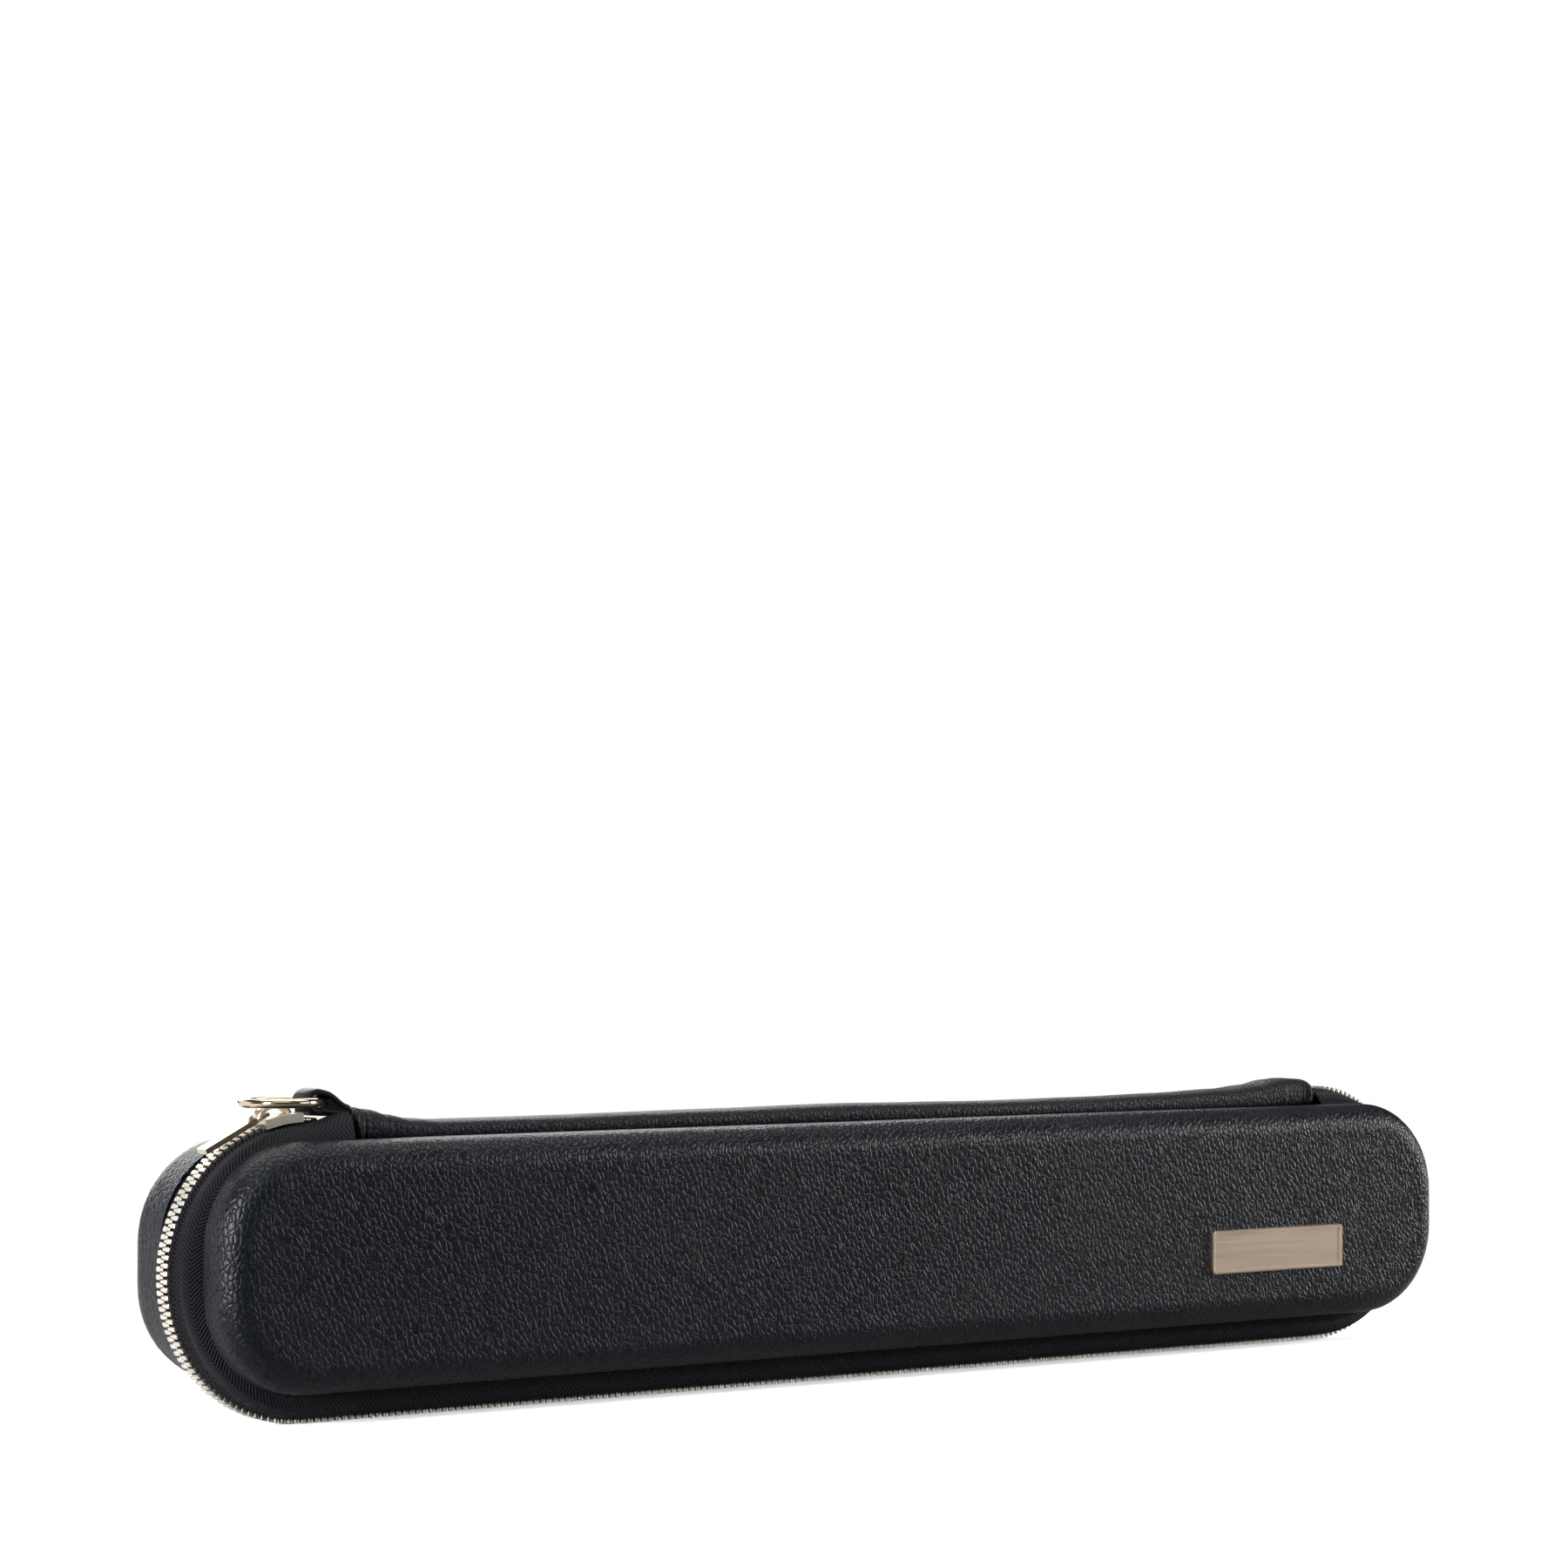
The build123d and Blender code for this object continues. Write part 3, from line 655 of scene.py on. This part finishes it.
weave, weave_in, weave_out = group(
    "herringbone", [("Thread", "NodeSocketFloat", 1.4), ("Column", "NodeSocketFloat", 3.4)],
    [("Height", "NodeSocketFloat")],
)
thread = weave_in.outputs["Thread"]
herring = weave_in.outputs["Column"]
cloth_at = put(weave, "ShaderNodeAttribute", attribute_name="cloth", attribute_type="GEOMETRY")
split = put(weave, "ShaderNodeSeparateXYZ", {0: cloth_at.outputs["Vector"]})
column = put(weave, "ShaderNodeMath", {0: split.outputs[1], 1: herring}, operation="DIVIDE")
swing = put(weave, "ShaderNodeMath", {0: column.outputs[0], 1: 1.0}, operation="PINGPONG")
rise = put(weave, "ShaderNodeMath", {0: swing.outputs[0], 1: herring}, operation="MULTIPLY")
slant = put(weave, "ShaderNodeMath", {0: split.outputs[0], 1: rise.outputs[0]}, operation="ADD")
turns = put(weave, "ShaderNodeMath", {0: slant.outputs[0], 1: thread}, operation="DIVIDE")
wave = put(weave, "ShaderNodeMath", {0: turns.outputs[0], 1: 0.5}, operation="PINGPONG")
soft = put(weave, "ShaderNodeMath", {0: wave.outputs[0], 1: 2.0}, operation="MULTIPLY")
weave.links.new(soft.outputs[0], weave_out.inputs["Height"])

zip_cloth, tree, shader = material("zip_tape", (0.014, 0.014, 0.017), 0.62)
threads = put(tree, "ShaderNodeGroup", node_tree=weave).outputs["Height"]
fuzz = noise(tree, scale=2600.0, detail=3.0)
knit = put(tree, "ShaderNodeMath", {0: fuzz, 1: 0.35, 2: threads}, operation="MULTIPLY_ADD")
emboss(tree, shader, knit.outputs[0], metres=0.0005)
# Painted highlight and shade: the thread crests are painted lighter and the grooves between them near black
tone = two_tone(tree, threads, (0.0002, 0.0002, 0.0004, 1), (0.03, 0.03, 0.041, 1))
tree.links.new(tone, shader.inputs["Base Color"])
shader.inputs["Sheen Weight"].default_value = 0.04
shader.inputs["Sheen Roughness"].default_value = 0.4
shader.inputs["Specular IOR Level"].default_value = 0.16

# The tape's section, as depths and distances in from the teeth's outer faces
tape_profile = [
    (0.75, 1.6), (1.1, 1.05), (1.8, 0.85), (2.4, 0.95), (2.9, 1.5), (3.5, 2.1), (4.8, 1.95), (5.8, 1.95),
    (6.8, 2.15), (8.0, 2.6), (9.0, 3.4), (9.8, 4.4), (10.4, 5.5), (10.8, 6.6), (11.2, 7.6), (11.6, 9.2),
    (11.5, 11.4), (10.6, 11.4), (10.6, 9.0), (10.1, 7.2), (9.4, 5.5), (8.8, 4.5), (8.0, 3.6), (7.0, 3.0),
    (5.8, 2.58), (3.6, 2.58), (0.75, 2.5),
]


def path_point(run):
    """Place and outward direction at a length along the teeth's outer faces, from the top right"""
    if run < 0:
        return END_X + run, HIGH, 0.0, 1.0
    if run <= ARC:
        turn = run / ROUND
        return END_X + ROUND * sin(turn), HIGH / 2 + ROUND * cos(turn), sin(turn), cos(turn)
    run -= ARC
    if run <= LINE:
        return END_X - run, 0.0, 0.0, -1.0
    run -= LINE
    if run <= ARC:
        turn = run / ROUND
        return -END_X - ROUND * sin(turn), HIGH / 2 - ROUND * cos(turn), -sin(turn), -cos(turn)
    return -END_X + run - ARC, HIGH, 0.0, 1.0


def ridge(x, depth):
    """How far the front tape stands up beside the loop, to meet the spine's left end"""
    along = ease((x - RIDGE_X) / RIDGE_LONG)
    near = ease((depth - RIDGE_INNER) / RIDGE_INNER_SLOPE)
    far = ease((RIDGE_OUTER - depth) / RIDGE_OUTER_SLOPE)
    return RIDGE_UP * along * near * far


def tape(name, side, start, stop, body, replaces, step=2.4, lift=None):
    """Tape's profile of (depth, inset) points carried along the zip's outline"""
    count = ceil((stop - start) / step)
    wide = len(tape_profile)
    runs = [start + (stop - start) * i / count for i in range(count + 1)]
    points = []
    for run in runs:
        x, z, out_x, out_z = path_point(run)
        for depth, inset in tape_profile:
            up = lift(x, depth) if lift else 0.0
            points.append((x - out_x * inset, ZIP_Y + side * depth, z - out_z * inset + up))
    faces = tube_faces(count + 1, wide, capped=False)
    points += points[:wide] + points[-wide:]
    runs += [start, stop]
    faces.append(tuple(range((count + 1) * wide, (count + 2) * wide)))
    faces.append(tuple(range((count + 2) * wide, (count + 3) * wide)))
    made = piece(name, points, faces, body, zip_cloth, replaces)
    across = [0.0]
    for (d0, i0), (d1, i1) in zip(tape_profile, tape_profile[1:] + tape_profile[:1]):
        across.append(across[-1] + hypot(d1 - d0, i1 - i0))
    cloth = made.data.attributes.new("cloth", "FLOAT2", "CORNER")
    for face in made.data.polygons:
        columns = [v % wide for v in face.vertices]
        wraps = len(columns) == 4 and min(columns) == 0 and max(columns) == wide - 1
        for corner, vertex in zip(face.loop_indices, face.vertices):
            j = vertex % wide
            width = across[wide] if wraps and j == 0 else across[j]
            cloth.data[corner].vector = (runs[vertex // wide], width)
    return made


tape("rear_zip_tape", REAR, TAPE_FROM, TAPE_TO, "base", ["rear_tape"])
tape("front_zip_tape", FRONT, TAPE_FROM, TAIL_FROM, "lid", ["front_tape"])
lap_from = TAIL_FROM - TAPE_LAP
front_tail = tape(
    "front_zip_tape_tail", FRONT, lap_from, TAPE_TO, None, ["front_tape_end"], step=1.2, lift=ridge
)
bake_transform(front_tail)

# Zip teeth: stamped from pale gold strip, 2.3 mm apart, and clamped over the tape's
# edge. Each has a flat outer face, a foot on its own tape and a head that reaches
# between two teeth of the other side.
BOTTOM_TEETH = 177
PITCH = LINE / BOTTOM_TEETH
TOOTH_MIDDLE = 1.2
# Half of a tooth's outer face, as distances along the zip and depths, from foot to head
half_outline = [
    (0.36, 3.1), (0.58, 3.02), (0.7, 2.8), (0.7, 1.0), (0.64, 0.86), (0.46, 0.72), (0.42, 0.3), (0.46, -0.1),
    (0.44, -0.45), (0.3, -0.62),
]
tooth_outline = half_outline + [(-along, depth) for along, depth in reversed(half_outline)]
# Distances in from the outer face, each with the share of the face's width and of its reach
tooth_levels = [(0.0, 0.84, 0.936), (0.14, 1.0, 1.0), (0.8, 1.0, 0.92), (1.5, 1.0, 0.83), (2.4, 1.0, 0.8)]
tooth_faces = tube_faces(len(tooth_levels), len(tooth_outline))


def tooth_row(name, side, places, body, replaces):
    """Teeth of one side at the given lengths along the zip's outline, as one piece"""
    points = []
    faces = []
    insets = []
    for run in places:
        x, z, out_x, out_z = path_point(run)
        faces += [tuple(len(points) + corner for corner in face) for face in tooth_faces]
        for inset, share, reach in tooth_levels:
            for a, b in tooth_outline:
                along = a * share
                depth = TOOTH_MIDDLE + (b - TOOTH_MIDDLE) * reach
                insets.append(inset)
                points.append((
                    x - out_x * inset + out_z * along,
                    ZIP_Y + side * depth,
                    z - out_z * inset - out_x * along,
                ))
    made = piece(name, points, faces, body, pale_gold, replaces, smooth=False)
    sunk = made.data.attributes.new("sunk", "FLOAT", "POINT")
    sunk.data.foreach_set("value", insets)
    return made


right_places = [ROUND * radians((i + 0.5) * TOOTH_STEP) for i in range(END_TEETH)]
bottom_places = [ARC + LINE / 2 + (i - (BOTTOM_TEETH - 1) / 2) * PITCH for i in range(BOTTOM_TEETH)]
left_places = [ARC + LINE + place for place in right_places]
left_count = END_TEETH - TAIL_TEETH
half = PITCH / 2
tooth_row("front_teeth_right_row", FRONT, right_places, "lid", ["front_teeth_right"])
tooth_row("front_teeth_bottom_row", FRONT, bottom_places, "lid", ["front_teeth_bottom"])
tooth_row("front_teeth_left_row", FRONT, left_places[:left_count], "lid", ["front_teeth_left"])
tail_row = tooth_row("front_teeth_tail_row", FRONT, left_places[left_count:], None, ["front_teeth_end"])
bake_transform(tail_row)
rear_right = [place + half for place in right_places]
rear_bottom = [place + half for place in bottom_places[:-1]]
rear_left = [place - half for place in left_places]
tooth_row("rear_teeth_right_row", REAR, rear_right, "base", ["rear_teeth_right"])
tooth_row("rear_teeth_bottom_row", REAR, rear_bottom, "base", ["rear_teeth_bottom"])
tooth_row("rear_teeth_left_row", REAR, rear_left, "base", ["rear_teeth_left"])

# Slider, pull and stops: the slider's two plates are cast and plated dull, the flat pull
# and the two stops at the chain's end are polished like the ring. Their edges are
# softly broken.


def soften(name, millimetres, segments=3):
    """Rounds the sharp edges of a CAD node with a modifier"""
    edge = nodes[name].modifiers.new("soft edges", "BEVEL")
    edge.width = millimetres / 1000
    edge.segments = segments
    edge.limit_method = "ANGLE"
    edge.angle_limit = radians(35)
    edge.harden_normals = False


cast = metal(
    "cast_gold", (0.95, 0.88, 0.74), 0.36, scale=700.0, detail=4.0, smoothest=0.32, roughest=0.44
)[0]
dress(cast, "slider_body", "slider_underplate")
dress(polished, "pull_tab", "front_zip_stop", "rear_zip_stop")
soften("slider_body", 0.6)
soften("slider_underplate", 0.3)
soften("pull_tab", 0.35)

# Bridge: a smooth arch cast in one with the slider's top plate, thinner and wider at its
# middle. The pull's bar hangs under it.
BRIDGE_FROM = 4.0
BRIDGE_TO = 17.0
BRIDGE_RADIUS = 46.5
BRIDGE_FOOT = 1.55
BRIDGE_RISE = 2.75
BRIDGE_POWER = 3.2
BRIDGE_THIN = 0.62
BRIDGE_THICKER = 0.35
BRIDGE_HALF = 1.75
BRIDGE_WIDER = 0.75
BRIDGE_SQUARE = (0.7, 0.6)
BRIDGE_STEPS = 24
BRIDGE_AROUND = 14
points = []
for i in range(BRIDGE_STEPS + 1):
    share = i / BRIDGE_STEPS
    off = abs(2 * share - 1)
    turn = radians(BRIDGE_FROM + (BRIDGE_TO - BRIDGE_FROM) * share)
    radius = ROUND + BRIDGE_FOOT + BRIDGE_RISE * (1 - off ** BRIDGE_POWER)
    fall = BRIDGE_RISE * BRIDGE_POWER * off ** (BRIDGE_POWER - 1) * (-2 if share > 0.5 else 2)
    slope = atan2(fall, BRIDGE_RADIUS * radians(BRIDGE_TO - BRIDGE_FROM))
    thick = BRIDGE_THIN + BRIDGE_THICKER * off
    half = BRIDGE_HALF + BRIDGE_WIDER * sin(pi * share)
    for j in range(BRIDGE_AROUND):
        round_it = 2 * pi * j / BRIDGE_AROUND
        out = thick * square_off(cos(round_it), BRIDGE_SQUARE[0])
        y = half * square_off(sin(round_it), BRIDGE_SQUARE[1])
        r_out = radius + out * cos(slope)
        bend = turn - out * sin(slope) / BRIDGE_RADIUS
        points.append((-END_X - r_out * sin(bend), ZIP_Y + y, HIGH / 2 + r_out * cos(bend)))
faces = tube_faces(BRIDGE_STEPS + 1, BRIDGE_AROUND)
piece("slider_arch", points, faces, "slider", cast, ["slider_bridge"])

# Nameplate: a plate of brushed champagne metal with a raised and bevelled rim, left
# bare. Two pins of pale gold metal hold it to the front cover.
brushed, tree, shader = material("brushed_plate", (0.9, 0.72, 0.56), 0.42, metallic=1.0)
place = put(tree, "ShaderNodeTexCoord").outputs["Object"]
lines = put(tree, "ShaderNodeMapping", {"Vector": place, "Scale": (40.0, 40.0, 2600.0)})
hairs = put(tree, "ShaderNodeTexNoise", {"Vector": lines.outputs[0], "Scale": 1.0, "Detail": 4.0})
hair = hairs.outputs["Fac"]
emboss(tree, shader, hair, metres=0.00005, strength=0.12)
rough = put(
    tree, "ShaderNodeMapRange",
    {"Value": hair, "From Min": 0.3, "From Max": 0.7, "To Min": 0.36, "To Max": 0.48},
)
tree.links.new(rough.outputs[0], shader.inputs["Roughness"])
dress(brushed, "nameplate")
dress(pale_gold, "nameplate_pins")
soften("nameplate", 0.12, segments=2)

# Floor and background: a sheet of plain white, which to the camera keeps only the thin
# shadow under the case. Its light on the case is weaker in front than behind.
FLOOR_HALF = 6
white, tree, shader = material("white_floor", (0.3, 0.3, 0.3), 0.9)
place = put(tree, "ShaderNodeTexCoord").outputs["Object"]
spot = put(tree, "ShaderNodeSeparateXYZ", {0: place})
behind = put(
    tree, "ShaderNodeMapRange",
    {"Value": spot.outputs[1], "From Min": -0.07, "From Max": 0.03, "To Min": 0.14, "To Max": 0.95},
)
tree.links.new(behind.outputs[0], shader.inputs["Base Color"])
near = put(tree, "ShaderNodeBsdfDiffuse", {"Color": (4.0, 4.0, 4.0, 1)})
lift = put(tree, "ShaderNodeEmission", {"Color": (1, 1, 1, 1), "Strength": 0.22})
lit = put(tree, "ShaderNodeAddShader", {0: near.outputs[0], 1: lift.outputs[0]})
plain = put(tree, "ShaderNodeEmission", {"Color": (1, 1, 1, 1), "Strength": 1.0})
spread = put(tree, "ShaderNodeMapping", {"Vector": place, "Scale": (2.2, 4.5, 1.0)})
fade = put(tree, "ShaderNodeTexGradient", {"Vector": spread.outputs[0]}, gradient_type="SPHERICAL")
edge = put(tree, "ShaderNodeMapRange", {"Value": fade.outputs["Fac"], "From Min": 0.0, "From Max": 0.25})
seen = put(tree, "ShaderNodeMixShader", {0: edge.outputs[0], 1: plain.outputs[0], 2: lit.outputs[0]})
ray = put(tree, "ShaderNodeLightPath").outputs["Is Camera Ray"]
blend = put(tree, "ShaderNodeMixShader", {0: ray, 1: shader.outputs[0], 2: seen.outputs[0]})
tree.links.new(blend.outputs[0], tree.nodes["Material Output"].inputs["Surface"])

corners = [(-1, -1), (1, -1), (1, 1), (-1, 1)]
floor_mesh = bpy.data.meshes.new("floor")
floor_mesh.from_pydata([(x * FLOOR_HALF, y * FLOOR_HALF, 0) for x, y in corners], [], [(0, 1, 2, 3)])
floor_mesh.materials.append(white)
floor = bpy.data.objects.new("floor", floor_mesh)
bpy.context.scene.collection.objects.link(floor)

world = bpy.data.worlds.new("studio")
bpy.context.scene.world = world
world.use_nodes = True
sky = world.node_tree
dim = sky.nodes["Background"]
dim.inputs["Color"].default_value = (0.86, 0.92, 1, 1)
dim.inputs["Strength"].default_value = 0.05
clear = put(sky, "ShaderNodeBackground", {"Color": (1, 1, 1, 1), "Strength": 1.0})
ray = put(sky, "ShaderNodeLightPath").outputs["Is Camera Ray"]
pick = put(sky, "ShaderNodeMixShader", {0: ray, 1: dim.outputs[0], 2: clear.outputs[0]})
sky.links.new(pick.outputs[0], sky.nodes["World Output"].inputs["Surface"])
bpy.context.scene.view_settings.view_transform = "Standard"

# Light: soft windows all round. The ones at the back light the spine and the ring, the
# strip on the left draws the rounded end's edge, and the one on the right greys the leather.


def window(name, at, towards, wide, high, watts):
    """Soft rectangular light that faces a point"""
    lamp = bpy.data.lights.new(name, "AREA")
    lamp.shape = "RECTANGLE"
    lamp.size = wide
    lamp.size_y = high
    lamp.energy = watts
    made = bpy.data.objects.new(name, lamp)
    bpy.context.scene.collection.objects.link(made)
    made.location = at
    made.rotation_euler = (Vector(towards) - Vector(at)).to_track_quat("-Z", "Y").to_euler()


window("top_window", (0.1, 0.16, 1.4), (0, 0, 0.05), wide=1.8, high=0.8, watts=9)
window("back_window", (0.5, 1.7, 0.8), (0, 0, 0.05), wide=1.8, high=0.9, watts=22)
window("back_left_window", (-0.95, 1.0, 0.3), (-0.2, 0, 0.05), wide=1.2, high=0.7, watts=2.6)
window("front_window", (-0.5, -0.7, 1.1), (-0.1, 0, 0.05), wide=0.9, high=0.5, watts=1.5)
window("tooth_window", (0.6, -0.82, 0.4), (0, 0, 0.0), wide=0.6, high=0.2, watts=1.1)
window("edge_strip", (-1.25, -0.4, 0.34), (-0.24, 0, 0.05), wide=0.1, high=0.8, watts=15)
window("right_window", (2.6, -0.75, 0.5), (0.3, 0, 0.05), wide=0.7, high=1.2, watts=28)
